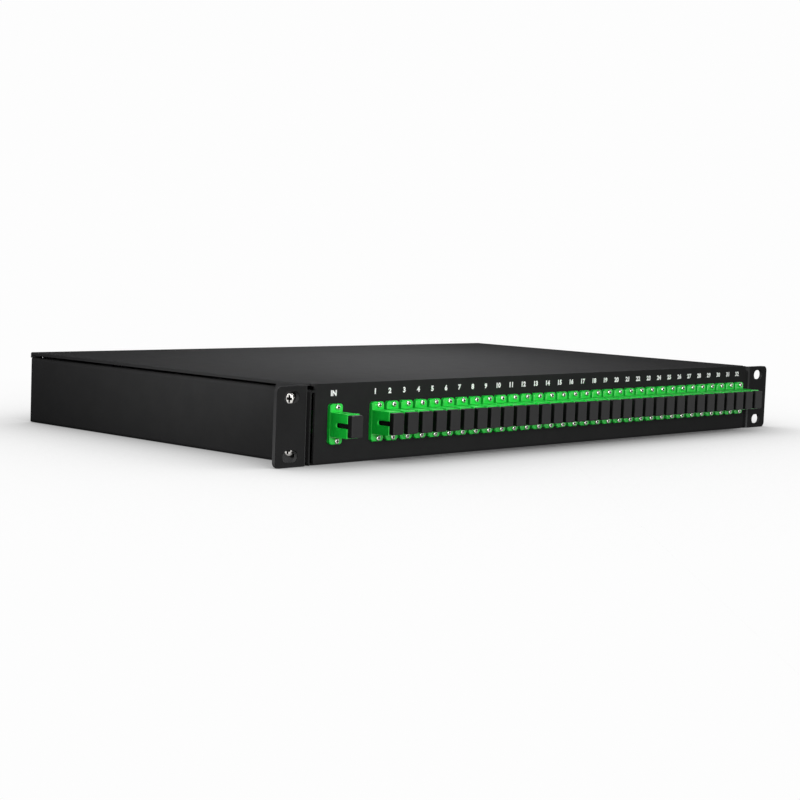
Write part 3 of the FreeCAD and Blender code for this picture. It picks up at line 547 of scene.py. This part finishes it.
bpy.ops.object.select_all(action="DESELECT")
bpy.ops.mesh.primitive_plane_add(size=floor_size, location=(0, 0, 0))
floor = bpy.context.object
floor.name = "floor"
floor.data.transform(Matrix.Translation((0, 0, cad_low.z)))
paper = bpy.data.materials.new("white_paper")
paper.use_nodes = True
paper.node_tree.nodes.clear()
output = paper.node_tree.nodes.new("ShaderNodeOutputMaterial")
lit = paper.node_tree.nodes.new("ShaderNodeBsdfDiffuse")
feed(paper, lit.inputs["Color"], (floor_grey, floor_grey, floor_grey))
openness = paper.node_tree.nodes.new("ShaderNodeAmbientOcclusion")
openness.samples = shadow_samples
openness.inputs["Distance"].default_value = shadow_reach
shade = paper.node_tree.nodes.new("ShaderNodeValToRGB")
stops = shade.color_ramp.elements
stops.remove(stops[0])
stops[0].position, stops[0].color = 1.0, (paper_white, paper_white, paper_white, 1.0)
for share, grey in shadow_stops:
    stops.new(share).color = (grey, grey, grey, 1.0)
plain = paper.node_tree.nodes.new("ShaderNodeEmission")
mix = paper.node_tree.nodes.new("ShaderNodeMixShader")
feed(paper, shade.inputs["Fac"], openness.outputs["AO"])
feed(paper, plain.inputs["Color"], shade.outputs["Color"])
feed(paper, mix.inputs["Fac"], seen_plainly(paper))
feed(paper, mix.inputs[1], lit.outputs["BSDF"])
feed(paper, mix.inputs[2], plain.outputs["Emission"])
feed(paper, output.inputs["Surface"], mix.outputs["Shader"])
floor.data.materials.append(paper)


# Round it the room is as white as the paper to the camera and in reflections, up to a
# dimmer ceiling. To everything else it gives only a weak even light.
room_light = 0.08
ceiling_white = 0.25
ceiling_start, ceiling_full = 0.15, 0.5

room = bpy.data.worlds.new("studio")
bpy.context.scene.world = room
room.use_nodes = True
room.node_tree.nodes.clear()
output = room.node_tree.nodes.new("ShaderNodeOutputWorld")
wall = room.node_tree.nodes.new("ShaderNodeBackground")
feed(room, wall.inputs["Color"], (1.0, 1.0, 1.0))
heading = room.node_tree.nodes.new("ShaderNodeTexCoord")
heights = room.node_tree.nodes.new("ShaderNodeSeparateXYZ")
feed(room, heights.inputs["Vector"], heading.outputs["Generated"])
seen_white = new_range(
    room, heights.outputs["Z"], ceiling_start, ceiling_full, paper_white, ceiling_white)
level = new_range(room, seen_plainly(room), 0.0, 1.0, room_light, seen_white)
feed(room, wall.inputs["Strength"], level)
feed(room, output.inputs["Surface"], wall.outputs["Background"])


# The main soft box stands in front, a little to the left. A strip hangs above the cover
# and a small box lights the left side. Two weak ones fill the rear and the right side.
def soft_box(name, place, target, width, height, watts):
    """A rectangular lamp that faces its target."""
    data = bpy.data.lights.new(name, "AREA")
    data.shape = "RECTANGLE"
    data.size = width
    data.size_y = height
    data.energy = watts
    lamp = bpy.data.objects.new(name, data)
    bpy.context.scene.collection.objects.link(lamp)
    lamp.location = place
    aim = Vector(target) - Vector(place)
    lamp.rotation_euler = aim.to_track_quat("-Z", "Y").to_euler()
    lamp.visible_camera = False
    return lamp


soft_box("front_box", (-0.35, -0.9, 0.2), (-0.1, 0.0, 0.0), width=0.8, height=0.4, watts=8.0)
strip = soft_box(
    "top_strip", (-0.01, 0.12, 0.2), (-0.01, 0.12, 0.0), width=0.05, height=0.4, watts=0.9)
strip.rotation_euler = (0, 0, -camera_turn)
soft_box("side_box", (-0.42, 0.06, 0.08), (-0.22, 0.05, 0.0), width=0.12, height=0.1, watts=0.3)
soft_box("rear_box", (-0.2, 1.3, 0.5), (0.0, 0.2, 0.0), width=0.8, height=0.5, watts=2.5)
soft_box("right_box", (1.1, 0.1, 0.4), (0.0, 0.1, 0.0), width=0.6, height=0.4, watts=0.8)

bpy.context.scene.view_settings.view_transform = "Standard"
